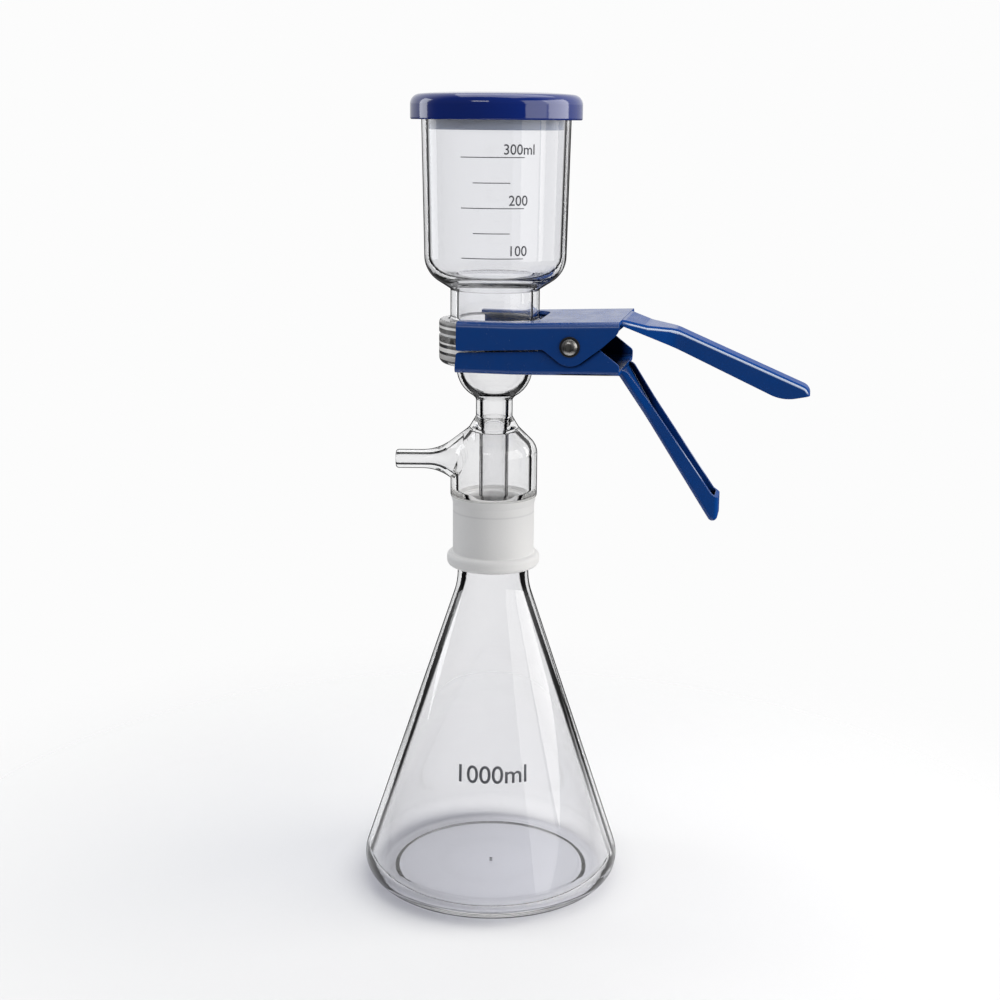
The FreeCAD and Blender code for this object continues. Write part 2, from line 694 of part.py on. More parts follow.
def round_folds(name, form, radius, start, facing):
    """Round the long edges where the strip (its face up or down, or its end) meets its two cheeks."""
    doc.recompute()
    chosen = []
    for index, edge in enumerate(form.Shape.Edges):
        middle = edge.valueAt((edge.FirstParameter + edge.LastParameter) / 2)
        if middle.x < start:
            continue
        normals = []
        for face in form.Shape.ancestorsOfType(edge, Part.Face):
            normals.append(face.normalAt(*face.Surface.parameter(middle)))
        cheeks = [normal for normal in normals if abs(normal.y) > 0.5]
        strip = [normal for normal in normals if abs(normal.y) < 0.01]
        if cheeks and strip and (strip[0].z * facing > 0.2 or strip[0].x > 0.9):
            chosen.append(index + 1)
    rounded = doc.addObject("Part::Fillet", name)
    rounded.Base = form
    rounded.Edges = [(index, radius.number, radius.number) for index in chosen]
    return rounded


def folded(name, side, plan, fold, start, facing):
    """Folded sheet: a strip that follows the side view between two cheeks that follow the plan.

    The outside is the two outlines' slabs in common, the inside is the same with both outlines moved in
    by the sheet's thickness, and the folds between strip and cheeks are rounded on both.
    """
    side_outer = slab(name + "_side", "XZ", side)
    plan_outer = slab(name + "_plan", "XY", plan, BENCH, cutter_length)
    outer = combine("MultiCommon", name + "_outer", [side_outer, plan_outer])
    inner = combine("MultiCommon", name + "_inner", [
        thinned(name + "_side_inner", "XZ", side_outer.Base),
        thinned(name + "_plan_inner", "XY", plan_outer.Base),
    ])
    return pair("Cut", name + "_shell",
                round_folds(name + "_outer_folds", outer, fold, start, facing),
                round_folds(name + "_inner_folds", inner, fold - clamp_sheet, start, facing))


def pin_hole(name):
    hole = doc.addObject("Part::Cylinder", name)
    hole.Placement = Placement(Vector(), Rotation(Vector(1, 0, 0), -90))
    bind(hole, "Radius", pin_radius + pin_fit)
    bind(hole, "Height", cutter_length)
    bind(hole, "Placement.Base.x", pin_place)
    bind(hole, "Placement.Base.y", cutter_length / -2)
    bind(hole, "Placement.Base.z", pin_height)
    return hole


def web_rise(place, rise):
    """How far a web has risen where it passes place, behind its bend."""
    return (place - jaw_bend) * rise.tangent()


def make_upper_jaw():
    """Upper half of the clamp: its fork rests on the cup's flange, its cheeks hang outside."""
    front = -upper_reach - blank_margin
    tail = jaw_end + blank_margin
    low = pin_height - upper_ear_radius - blank_margin
    fork = folded("upper_fork", [
        (front, low, 0),
        (tail, low, 0),
        (tail, upper_web + web_rise(tail, upper_rise), 0),
        (jaw_bend, upper_web, jaw_bend_round),
        (front, upper_web, 0),
    ], mirrored([
        (front, upper_half, 0),
        (tail, upper_half, 0),
    ]), clamp_fold, front.number + 0.1, 1)

    ear_tangent = ear_slope.tangent()
    ear_point = pin_height - upper_ear_radius / ear_slope.cosine()
    edge_tangent = cheek_edge_rise.tangent()
    edge_meets_ear = (pin_place * ear_tangent + ear_point - upper_cheek_edge
                      - upper_reach * edge_tangent) / (ear_tangent + edge_tangent)
    cheeks = slab("upper_cheek_trim", "XZ", [
        (-upper_reach, upper_cheek_edge, cheek_corner),
        (edge_meets_ear, upper_cheek_edge + (edge_meets_ear + upper_reach) * edge_tangent, cheek_blend),
        (pin_place, ear_point, upper_ear_radius),
        (pin_place + ear_length, ear_point + ear_tangent * ear_length, ear_round),
        (jaw_end, upper_web - tail_depth, tail_round),
        (jaw_end, upper_web + blank_margin, 0),
        (-upper_reach, upper_web + blank_margin, 0),
    ])
    plan = slab("upper_fork_plan", "XY", fork_plan(upper_reach, notch_end), BENCH, cutter_length)
    jaw = combine("MultiCommon", "upper_jaw_sheet", [fork, cheeks, plan])

    root = handle_joint - blank_margin / 2
    bend_top = upper_web - upper_bend_drop
    tip_top = bend_top - upper_grip_length * upper_slope.tangent()
    shell = folded("upper_handle", [
        (root, upper_web - upper_blank_depth, 0),
        (upper_bend, bend_top - upper_blank_depth, upper_root_round),
        (upper_tip, tip_top - upper_blank_depth, 0),
        (upper_tip, tip_top, upper_tip_round),
        (upper_bend, bend_top, upper_bend_round),
        (upper_dip, upper_web - upper_dip_drop, upper_dip_round),
        (jaw_end, upper_web + web_rise(jaw_end, upper_rise), upper_root_round),
        (root, upper_web + web_rise(root, upper_rise), 0),
    ], mirrored([
        (root, upper_root_half, 0),
        (jaw_end, upper_root_half, upper_root_round),
        (upper_bend, upper_grip_half, upper_waist_round),
        (upper_tip + blank_margin, upper_tip_half, 0),
    ]), handle_fold, handle_joint.number, 1)
    joint_under = upper_web - clamp_sheet + web_rise(handle_joint, upper_rise)
    past_tip = upper_tip + blank_margin
    turn_height = tip_top - upper_edge_depth
    trim = slab("upper_handle_trim", "XZ", [
        (handle_joint, joint_under, 0),
        (handle_joint + upper_step, joint_under, upper_step_round),
        (upper_tip - upper_edge_length, turn_height, upper_edge_round),
        (past_tip, turn_height + upper_edge_height, 0),
        (past_tip, upper_web + blank_margin, 0),
        (handle_joint, upper_web + blank_margin, 0),
    ])
    grip = pair("Common", "upper_handle_sheet", shell, trim)
    joined = combine("MultiFuse", "upper_sheet", [jaw, grip])
    solid = pair("Cut", "upper_jaw", joined, pin_hole("upper_pin_hole"))
    solid.Label = "upper_jaw"
    return solid


def make_lower_jaw():
    """Lower half of the clamp: its fork bears under the head's flange, its cheeks stand inside."""
    front = -lower_reach - blank_margin
    tail = jaw_end + blank_margin
    high = pin_height + lower_ear_radius + blank_margin
    fork = folded("lower_fork", [
        (front, lower_web, 0),
        (jaw_bend, lower_web, jaw_bend_round),
        (tail, lower_web + web_rise(tail, lower_rise), 0),
        (tail, high, 0),
        (front, high, 0),
    ], mirrored([
        (front, lower_half, 0),
        (tail, lower_half, 0),
    ]), clamp_fold, front.number + 0.1, -1)

    ear_tangent = ear_slope.tangent()
    ear_point = pin_height + lower_ear_radius / ear_slope.cosine()
    edge_tangent = cheek_edge_rise.tangent()
    edge_meets_ear = (pin_place * ear_tangent + lower_cheek_edge - ear_point
                      + lower_reach * edge_tangent) / (ear_tangent - edge_tangent)
    cheeks = slab("lower_cheek_trim", "XZ", [
        (-lower_reach, lower_web - blank_margin, 0),
        (jaw_end, lower_web - blank_margin, 0),
        (jaw_end, ear_point - (jaw_end - pin_place) * ear_tangent, cheek_blend),
        (pin_place, ear_point, lower_ear_radius),
        (edge_meets_ear, lower_cheek_edge + (edge_meets_ear + lower_reach) * edge_tangent, cheek_blend),
        (lower_cheek_inset - lower_reach, lower_cheek_edge, cheek_corner),
    ])
    plan = slab("lower_fork_plan", "XY", fork_plan(lower_reach, lower_notch_end), BENCH, cutter_length)
    jaw = combine("MultiCommon", "lower_jaw_sheet", [fork, cheeks, plan])

    root = handle_joint - blank_margin / 2
    bend_low = lower_web + web_rise(lower_bend, lower_rise)
    fall = lower_slope.tangent()
    tip_low = bend_low - lower_grip_length * fall
    blank_height = lower_blank_depth / lower_slope.cosine()
    past_tip = lower_tip + blank_margin
    back = lower_bend + (blank_height - lower_blank_depth) / fall
    shell = folded("lower_handle", [
        (root, lower_web + web_rise(root, lower_rise), 0),
        (lower_bend, bend_low, lower_bend_round),
        (lower_tip, tip_low, lower_tip_round),
        (lower_tip, tip_low + blank_height, 0),
        (back, bend_low + lower_blank_depth, lower_back_round),
        (root, bend_low + lower_blank_depth, 0),
    ], mirrored([
        (root, lower_root_half, 0),
        (jaw_end, lower_root_half, lower_root_round),
        (jaw_end + lower_waist_length, lower_grip_half, lower_waist_length),
        (past_tip, lower_tip_half, 0),
    ]), handle_fold, handle_joint.number, -1)
    edge = lower_web + clamp_sheet + lower_edge_gap
    turn_height = tip_low + lower_turn_height
    trim = slab("lower_handle_trim", "XZ", [
        (handle_joint, tip_low - blank_margin, 0),
        (past_tip, tip_low - blank_margin, 0),
        (past_tip, turn_height - lower_edge_depth, 0),
        (lower_tip - lower_turn_length, turn_height, lower_turn_round),
        (jaw_end + lower_edge_start, edge, lower_edge_round),
        (handle_joint, edge, 0),
    ])
    grip = pair("Common", "lower_handle_sheet", shell, trim)
    joined = combine("MultiFuse", "lower_sheet", [jaw, grip])
    solid = pair("Cut", "lower_jaw", joined, pin_hole("lower_pin_hole"))
    solid.Label = "lower_jaw"
    return solid


# ---- Pin and what sits on it --------------------------------------------------------------------

def on_pin(body):
    """Stand the body on the pin's axis, its own +Z pointing to the front."""
    body.Placement = Placement(Vector(), Rotation(Vector(1, 0, 0), 90))
    bind(body, "Placement.Base.x", pin_place)
    bind(body, "Placement.Base.z", pin_height)
    return body


def make_pivot_pin():
    """Headed pin, with a groove for its clip near the plain end."""
    body = make_body("pivot_pin")
    head = upper_half + washer_thickness
    groove_end = head + clip_thickness + clip_fit
    tail = groove_end + pin_tail
    turn_solid(body, "Revolution", "pin_form", [
        (0, -tail, 0),
        (pin_radius, -tail, 0.4),
        (pin_radius, -groove_end, 0),
        (clip_groove_radius, -groove_end, 0),
        (clip_groove_radius, -head, 0),
        (pin_radius, -head, 0),
        (pin_radius, head, 0),
        (pin_head_radius, head, 0),
        (pin_head_radius, head + 0.7, 0.5),
        (pin_radius, head + pin_head_height, 3.0),
        (0, head + pin_head_height, 0),
    ])
    return on_pin(body)


def make_ring(label, inside, outside, start, end):
    body = make_body(label)
    turn_solid(body, "Revolution", label + "_form", [
        (inside, start, 0),
        (outside, start, 0.15),
        (outside, end, 0.15),
        (inside, end, 0),
    ])
    return on_pin(body)


def make_clip():
    """Retaining ring, open on one side so that it springs into the pin's groove."""
    seat = upper_half + washer_thickness
    clip = make_ring("retaining_clip", clip_groove_radius + pin_fit, clip_radius,
                     -(seat + clip_thickness), -seat)
    mouth = clip.newObject("Sketcher::SketchObject", "clip_mouth_outline")
    mouth.AttachmentSupport = [(origin_plane(clip, "XY_Plane"), "")]
    mouth.MapMode = "FlatFace"
    gap = clip_groove_radius * 0.8
    draw_outline(mouth, [
        (0, -gap, 0),
        (clip_radius + 2, -gap, 0),
        (clip_radius + 2, gap, 0),
        (0, gap, 0),
    ])
    opening = clip.newObject("PartDesign::Pocket", "clip_mouth")
    opening.Profile = mouth
    opening.Type = "ThroughAll"
    opening.Midplane = True
    return clip


def spring_arm(radius, tilt, flat_gap, slope):
    """Length of a straight arm that leaves the coil at a tilt and ends resting on a sloping web.

    flat_gap is from the pin to the web's level part and slope is the web's rise away from the pin
    behind the bend, both taken at the middle of the wire.
    """
    along, across = math.cos(tilt), math.sin(tilt)
    run = (pin_place - jaw_bend).number - radius * across
    return (flat_gap + slope * run - radius * along) / (across - slope * along)


def make_spring():
    """Closing spring: a coil round the sleeve, with one arm to each jaw's web."""
    half_wire = spring_wire.number / 2
    radius = (sleeve_radius + spring_gap).number + half_wire
    upper_tilt = math.radians(spring_upper_tilt.number)
    lower_tilt = math.radians(spring_lower_tilt.number)
    upper_gap = (cup_flange_top - pin_height - spring_rest).number - half_wire
    lower_gap = (pin_height - head_flange_bottom - spring_rest).number - half_wire
    upper_arm = spring_arm(radius, upper_tilt, upper_gap, upper_rise.tangent().number)
    lower_arm = spring_arm(radius, lower_tilt, lower_gap, -lower_rise.tangent().number)

    start = math.radians(90) + upper_tilt
    turns = spring_turns.number + 0.5 - (upper_tilt + lower_tilt) / (2 * math.pi)
    length = turns * spring_pitch.number
    coil = Part.makeHelix(spring_pitch.number, length, radius)
    coil.rotate(Vector(), Vector(0, 0, 1), math.degrees(start))
    coil.translate(Vector(0, 0, -length / 2))
    first, last = coil.Edges[0], coil.Edges[-1]
    first_point, last_point = first.valueAt(first.FirstParameter), last.valueAt(last.LastParameter)
    into = first.tangentAt(first.FirstParameter)
    out_of = last.tangentAt(last.LastParameter)
    arms = [
        Part.makeLine(first_point - into * upper_arm, first_point),
        Part.makeLine(last_point, last_point + out_of * lower_arm),
    ]
    path = Part.Wire([arms[0]] + coil.Edges + [arms[1]])
    section = Part.Wire(Part.makeCircle(half_wire, first_point - into * upper_arm, into))
    spring = doc.addObject("Part::Feature", "torsion_spring")
    spring.Label = "torsion_spring"
    spring.Shape = path.makePipeShell([section], True, True)
    return on_pin(spring)


# ---- Assembly -----------------------------------------------------------------------------------

def finish(pieces):
    """Recompute, and stop if any object or any piece is unsound; then write one STEP file a piece."""
    doc.recompute()
    for item in doc.Objects:
        if "Invalid" in item.State or "Error" in item.State:
            raise RuntimeError(f"{item.Name} did not recompute: {item.State}")
    os.makedirs("parts", exist_ok=True)
    for piece in pieces:
        if piece.Shape.isNull() or not piece.Shape.isValid() or len(piece.Shape.Solids) != 1:
            raise RuntimeError(f"{piece.Label} is not one sound solid")
        piece.Shape.exportStep(f"parts/{piece.Label}.step")


flask = make_flask()
filter_head = make_filter_head()
disc = make_disc("sintered_disc", frit_radius, head_flange_top - frit_thickness, frit_thickness)
membrane = make_disc("membrane_filter", membrane_radius, head_flange_top, membrane_thickness)
gasket = make_gasket()
cup = make_funnel_cup()
lid = make_lid()
upper_jaw = make_upper_jaw()
lower_jaw = make_lower_jaw()
pin = make_pivot_pin()
outer_face = upper_half + washer_thickness
pin_bore = pin_radius + pin_fit
front_washer = make_ring("front_washer", pin_bore, washer_radius, upper_half, outer_face)
rear_washer = make_ring("rear_washer", pin_bore, washer_radius, -outer_face, -upper_half)
clip = make_clip()
sleeve_end = lower_half - clamp_sheet - sleeve_gap
sleeve = make_ring("spring_sleeve", pin_bore, sleeve_radius, -sleeve_end, sleeve_end)
spring = make_spring()
finish([flask, filter_head, disc, membrane, gasket, cup, lid, upper_jaw, lower_jaw, pin, front_washer,
        rear_washer, clip, sleeve, spring])
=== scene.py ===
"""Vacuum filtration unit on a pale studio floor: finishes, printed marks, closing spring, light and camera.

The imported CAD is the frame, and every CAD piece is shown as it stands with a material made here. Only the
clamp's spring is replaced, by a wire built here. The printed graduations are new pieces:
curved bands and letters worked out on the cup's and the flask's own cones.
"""
import math

import bpy
import numpy as np
from mathutils import Matrix, Vector


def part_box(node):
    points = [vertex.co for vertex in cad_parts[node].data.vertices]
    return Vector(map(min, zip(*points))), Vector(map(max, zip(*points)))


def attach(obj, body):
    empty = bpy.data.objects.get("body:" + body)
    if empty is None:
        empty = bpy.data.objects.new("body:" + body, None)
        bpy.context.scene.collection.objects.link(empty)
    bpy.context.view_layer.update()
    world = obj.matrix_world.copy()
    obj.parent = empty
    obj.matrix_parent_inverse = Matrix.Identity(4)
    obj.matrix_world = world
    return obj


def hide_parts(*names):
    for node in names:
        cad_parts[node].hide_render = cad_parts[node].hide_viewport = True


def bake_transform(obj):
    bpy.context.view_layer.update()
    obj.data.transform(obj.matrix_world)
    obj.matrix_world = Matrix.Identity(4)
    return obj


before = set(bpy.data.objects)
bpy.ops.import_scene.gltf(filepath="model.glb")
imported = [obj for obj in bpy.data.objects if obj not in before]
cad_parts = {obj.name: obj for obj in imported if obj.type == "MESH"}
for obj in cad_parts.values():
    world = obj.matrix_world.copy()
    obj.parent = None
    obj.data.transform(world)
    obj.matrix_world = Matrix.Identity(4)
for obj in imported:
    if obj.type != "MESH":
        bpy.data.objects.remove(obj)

MM = 0.001
DEGREE = math.pi / 180
BLACK, WHITE = (0, 0, 0), (1, 1, 1)
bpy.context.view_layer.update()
CUP_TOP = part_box("funnel_cup")[1].z
CONE_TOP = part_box("flask")[1].z                     # of the ground joint, at the flask's mouth
SLEEVE_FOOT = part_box("filter_head")[0].z            # of the ground joint, under the filter head
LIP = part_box("flange_gasket")[0].z                  # the gasket's underside, where the two flanges meet


# ---- Node helpers -------------------------------------------------------------------------------

class Nodes:
    """A node tree, with short ways to add the nodes used here."""

    def __init__(self, tree):
        self.tree = tree

    def feed(self, socket, value):
        """Links an input to another socket, or gives it a number, a vector or a colour of three parts."""
        if isinstance(value, bpy.types.NodeSocket):
            self.tree.links.new(value, socket)
        elif socket.type == "RGBA":
            socket.default_value = (*value, 1.0)
        else:
            socket.default_value = value

    def add(self, kind, **values):
        """A new node with these properties or, where it has no such property, these inputs."""
        node = self.tree.nodes.new(kind)
        for name, value in values.items():
            if hasattr(node, name):
                setattr(node, name, value)
            else:
                self.feed(node.inputs[name.replace("_", " ")], value)
        return node

    def math(self, operation, first, second=0.0):
        node = self.add("ShaderNodeMath", operation=operation)
        self.feed(node.inputs[0], first)
        self.feed(node.inputs[1], second)
        return node.outputs[0]

    def chain(self, operation, values):
        """The values joined one after another by this operation."""
        result, *others = values
        for value in others:
            result = self.math(operation, result, value)
        return result

    def times(self, *values):
        return self.chain("MULTIPLY", values)

    def plus(self, *values):
        return self.chain("ADD", values)

    def larger(self, *values):
        return self.chain("MAXIMUM", values)

    def rest(self, value):
        """What a value leaves of 1."""
        return self.math("SUBTRACT", 1.0, value)

    def ramp(self, value, low, high, to_low=0.0, to_high=1.0):
        """value taken smoothly from to_low at low to to_high at high."""
        node = self.add("ShaderNodeMapRange", interpolation_type="SMOOTHSTEP", Value=value,
                        From_Min=low, From_Max=high, To_Min=to_low, To_Max=to_high)
        return node.outputs["Result"]

    def within(self, value, low, high, soft=0.2 * MM):
        """1 between low and high, falling to 0 over a short way outside."""
        return self.times(self.ramp(value, low - soft, low + soft),
                          self.ramp(value, high + soft, high - soft))

    def vector(self, operation, first, second=(0, 0, 0)):
        node = self.add("ShaderNodeVectorMath", operation=operation)
        self.feed(node.inputs[0], first)
        self.feed(node.inputs[1], second)
        return node.outputs["Value" if operation in ("DOT_PRODUCT", "LENGTH") else "Vector"]

    def scaled(self, vector, factor):
        node = self.add("ShaderNodeVectorMath", operation="SCALE", Vector=vector, Scale=factor)
        return node.outputs["Vector"]

    def split(self, vector):
        """The x, y and z of a vector."""
        return self.add("ShaderNodeSeparateXYZ", Vector=vector).outputs

    def mix(self, factor, first, second):
        """The colour this far on the way from first to second."""
        node = self.add("ShaderNodeMix", data_type="RGBA", Factor=factor)
        self.feed(node.inputs[6], first)
        self.feed(node.inputs[7], second)
        return node.outputs[2]


class Shader(Nodes):
    """A material's nodes: its Principled surface, its output, and a point's place on the piece."""

    def __init__(self, name):
        self.material = bpy.data.materials.new(name)
        self.material.use_nodes = True
        super().__init__(self.material.node_tree)
        self.surface = self.tree.nodes["Principled BSDF"]
        self.place = self.add("ShaderNodeTexCoord").outputs["Object"]
        self.x, self.y, self.z = self.split(self.place)

    def set(self, **values):
        """Values or links for the Principled surface's own inputs."""
        for name, value in values.items():
            self.feed(self.surface.inputs[name.replace("_", " ")], value)

    def show(self, surface):
        """Makes this shader the one that the material shows."""
        self.feed(self.tree.nodes["Material Output"].inputs["Surface"], surface)

    def between(self, factor, first, second):
        """The shader this far on the way from first to second."""
        node = self.add("ShaderNodeMixShader")
        for socket, value in zip(node.inputs, (factor, first, second)):
            self.feed(socket, value)
        return node.outputs[0]

    def noise(self, size, detail=3.0, roughness=0.5, stretch=(1, 1, 1)):
        """Noise in the piece's own space with features about this many metres across, between 0 and 1."""
        drawn_out = self.add("ShaderNodeMapping", Vector=self.place,
                             Scale=[1 / factor for factor in stretch])
        node = self.add("ShaderNodeTexNoise", Vector=drawn_out.outputs[0], Scale=1 / size, Detail=detail,
                        Roughness=roughness)
        return node.outputs["Fac"]

    def bump(self, height, strength, distance, normal=None):
        node = self.add("ShaderNodeBump", Height=height, Strength=strength, Distance=distance)
        if normal is not None:
            self.feed(node.inputs["Normal"], normal)
        return node.outputs["Normal"]

    def openness(self, distance, samples, only_local=False):
        """1 where nothing stands within this distance of the surface, and less in a corner."""
        node = self.add("ShaderNodeAmbientOcclusion", Distance=distance, samples=samples,
                        only_local=only_local)
        return node.outputs["AO"]

    def off_axis(self):
        """Distance from the glass axis."""
        return self.math("SQRT", self.plus(self.times(self.x, self.x), self.times(self.y, self.y)))

    def finish(self, pattern, colour, roughness, normal):
        """Colour and normal, with the roughness led between two values by a noise pattern."""
        self.set(Base_Color=colour, Roughness=self.ramp(pattern, 0.3, 0.7, *roughness), Normal=normal)


# ---- Glass --------------------------------------------------------------------------------------

GLASS_IOR = 1.47
TURNED_BACK = 1 - math.sqrt(1 - 1 / GLASS_IOR ** 2)      # layer weight at the glass's critical angle
LINE_SPREAD = 1.6                                        # see glass()
OUTLINE = 0.30 * MM                                      # width of the painted shade outline
THICKER = 0.935                                          # of the colour, left where a wall is seen aslant
# painted shade: the near-black colour of the dark lines drawn along the glass walls' edges
PAINTED_SHADE_LINE = (0.0005, 0.0005, 0.001)
SHADOW_EDGE = (0.42, 0.43, 0.47)                         # light left past the edge of a wall
SHADOW_FOOT = (0.50, 0.505, 0.55)                        # light left past the thick glass at the foot
# the second colour is painted shade for the groove under the ground glass's top
FROST, GROOVE_SHADE = (0.885, 0.88, 0.865), (0.35, 0.35, 0.36)
GROUND_FROM, GROUND_TO = 12 * MM, 30 * MM                # radii that the ground glass lies between
FLANGE = 27.2 * MM                                       # radius past which the rim's painted reflection bands are seen
HEEL = 54 * MM                                           # radius past which the flask's underside curves up
HEEL_TOP, HEEL_INSIDE = 9 * MM, 62 * MM                  # no dark lines are drawn below and within these
FOOT_HALF = 45 * MM                                      # painted light: the foot's grey goes from dark to light across this, lighter towards +X
RAISED = 50 * MM                                         # radius of the foot's raised part
# painted shade rings on the foot's level glass: (radius, half width, depth)
FOOT_RINGS = ((50.4 * MM, 0.7 * MM, 0.17), (47.4 * MM, 0.4 * MM, 0.07), (26 * MM, 3 * MM, 0.02))
PONTIL = 1.1 * MM                                        # radius of the mark in the foot's middle
ARM_HEIGHT = SLEEVE_FOOT + 55.4 * MM                     # the side arm's axis
ARM_WAY = Vector((-math.cos(11 * DEGREE), -math.sin(11 * DEGREE), 0))
ARM_ROOT = 22.6 * MM                                     # where it leaves the bell, from the glass axis
ARM_ZONE = 14 * MM                                       # how far above and below its axis it is looked for


class Glass(Shader):
    """The nodes of a glass wall that is round about an axis.

    radius is the distance from that axis, outward is the normal's share along the way from it, upright is 1
    where the wall stands up, and facing is 0 where the wall looks at the viewer and 1 at its edge.
    """

    def __init__(self, name):
        super().__init__(name)
        geometry = self.add("ShaderNodeNewGeometry").outputs
        away = self.away_from_axis()
        self.facing = self.add("ShaderNodeLayerWeight", Blend=0.5).outputs["Facing"]
        self.back = geometry["Backfacing"]
        self.front = self.rest(self.back)
        self.upward = self.split(geometry["Normal"])[2]
        self.radius = self.vector("LENGTH", away)
        self.outward = self.math("DIVIDE", self.vector("DOT_PRODUCT", away, geometry["Normal"]), self.radius)
        self.upright = self.ramp(self.math("ABSOLUTE", self.outward), 0.2, 0.4)

    def away_from_axis(self):
        """The shortest way to the surface from the glass axis or, past the bell, from the side arm's."""
        flat = self.vector("MULTIPLY", self.place, (1, 1, 0))
        from_arm = self.vector("SUBTRACT", self.place, (0, 0, ARM_HEIGHT))
        along = self.vector("DOT_PRODUCT", from_arm, ARM_WAY)
        square = self.vector("SUBTRACT", from_arm, self.scaled(ARM_WAY, along))
        in_arm = self.times(self.ramp(along, ARM_ROOT, ARM_ROOT + 1.4 * MM),
                            self.within(self.z, ARM_HEIGHT - ARM_ZONE, ARM_HEIGHT + ARM_ZONE, MM))
        return self.mix(in_arm, flat, square)

    def wall_line(self, line):
        """1 on the painted shade line where the inside of the wall first turns light back."""
        (low, low_width), (high, high_width) = line
        width = self.ramp(self.z, low, high, low_width / LINE_SPREAD, high_width / LINE_SPREAD)
        reach = self.plus(self.math("DIVIDE", width, self.radius), TURNED_BACK)
        return self.times(self.ramp(self.facing, TURNED_BACK - 0.02, TURNED_BACK),
                          self.ramp(self.math("SUBTRACT", reach, self.facing), -0.01, 0.0),
                          self.ramp(self.outward, 0.3, 0.5), self.back)

    def outline(self, facing):
        """1 on the front of the wall, within the outline's width of its edge: a painted shade outline."""
        edge = self.math("SQRT", self.math("DIVIDE", 2 * OUTLINE, self.radius))
        return self.times(self.ramp(self.plus(facing, edge, -1.0), -0.06, 0.01), self.front)

    def dark_lines(self, line, has_foot):
        """1 on all the painted shade lines. A foot has one along its heel, which then counts as upright, and
        none in its thick glass."""
        outline = self.outline(self.facing)
        if has_foot:
            heel = self.times(self.ramp(self.upward, -0.55, -0.85),
                              self.ramp(self.radius, HEEL, HEEL + 2 * MM))
            self.upright = self.larger(self.upright, heel)
            outline = self.larger(outline, self.outline(self.plus(self.facing, self.times(heel, 0.2))))
        lines = self.larger(self.wall_line(line), self.times(outline, self.upright))
        if has_foot:
            thick = self.times(self.ramp(self.z, HEEL_TOP, HEEL_TOP - 2 * MM),
                               self.ramp(self.radius, HEEL_INSIDE, HEEL_INSIDE - 2 * MM))
            lines = self.times(lines, self.rest(thick))
        return lines

    def window_panes(self, panes, clear):
        """The gloss left in the panes' reflections, and the colour clear with the panes' painted reflections:
        brighter or greyer by azimuth.
        """
        shine = 1.0
        azimuth = self.math("ARCTAN2", self.y, self.x)
        for begin, end, gloss, painted_brightness in panes:
            pane = self.within(azimuth, begin * DEGREE, end * DEGREE, 0.6 * DEGREE)
            shine = self.plus(shine, self.times(pane, gloss - 1.0))
            clear = self.scaled(clear, self.plus(self.times(pane, painted_brightness - 1.0), 1.0))
        return self.mix(shine, BLACK, WHITE), clear

    def foot(self, height, grey, clear, lines):
        """clear and lines with the level glass below this height: its grey, its rings and its pontil mark.

        The grey is painted lighter towards +X, the key light's side, and painted darker past the raised part
        on the other side, as shade. Each of FOOT_RINGS is a painted shade ring: (radius, half width, depth).
        """
        low_down = self.ramp(self.z, height, height - 0.5 * MM)
        # painted light: lighter towards +X, the key light's side, and painted shade past the raised part on
        # the other side
        tone = self.ramp(self.x, -FOOT_HALF, FOOT_HALF, grey * 0.93, grey * 1.08)
        outer = self.times(self.ramp(self.radius, RAISED, RAISED + 2 * MM),
                           self.ramp(self.x, 10 * MM, -30 * MM))
        tone = self.times(tone, self.rest(self.times(outer, 0.16)))
        # painted shade rings
        for ring, wide, depth in FOOT_RINGS:
            drawn = self.times(self.within(self.radius, ring - wide, ring + wide, wide), depth)
            tone = self.times(tone, self.rest(drawn))
        level = self.times(low_down, self.rest(self.upright))
        clear = self.mix(level, clear, self.mix(tone, BLACK, (1, 1, 1.015)))
        mark = self.times(low_down, self.ramp(self.radius, PONTIL, PONTIL - 0.4 * MM))
        return clear, self.larger(lines, mark)

    def painted_rim_reflections(self, bands, shown):
        """shown with painted reflections on a thick rim: stripes from a colour ramp over its height, on the
        front only.
        """
        low, high = (LIP + bands[end][0] * MM for end in (0, -1))
        level = self.add("ShaderNodeMapRange", Value=self.z, From_Min=low, From_Max=high)
        stripes = self.add("ShaderNodeValToRGB", Fac=level.outputs["Result"])
        stops = stripes.color_ramp.elements
        while len(stops) < len(bands):
            stops.new(0.5)
        for stop, (offset, grey) in zip(stops, bands):
            stop.position = (LIP + offset * MM - low) / (high - low)
            stop.color = (grey, grey * 0.985, grey * 0.95, 1)
        rim = self.add("ShaderNodeBsdfPrincipled", Base_Color=stripes.outputs["Color"], Roughness=0.2,
                       Specular_IOR_Level=0.1)
        mask = self.times(self.within(self.z, low, high), self.ramp(self.radius, FLANGE, FLANGE + 0.5 * MM),
                          self.front, 0.92)
        return self.between(mask, shown, rim.outputs[0])

    def ground(self, low, high, shown):
        """shown with ground glass between two heights and painted shade for a soft groove under its top; and
        its mask.
        """
        grain = self.noise(0.6 * MM, 2.0, 0.7)
        frost = self.mix(grain, FROST, tuple(part * 0.93 for part in FROST))
        # painted shade: a darker line standing in for the groove under the top
        groove = self.within(self.z, high - 8.4 * MM, high - 7.9 * MM, 0.5 * MM)
        frost = self.mix(self.times(groove, 0.28), frost, GROOVE_SHADE)
        rough = self.add("ShaderNodeBsdfPrincipled", Base_Color=frost, Roughness=0.6,
                         Normal=self.bump(grain, 0.25, 0.1 * MM))
        mask = self.times(self.within(self.z, low, high), self.within(self.radius, GROUND_FROM, GROUND_TO))
        return self.between(mask, shown, rough.outputs[0]), mask


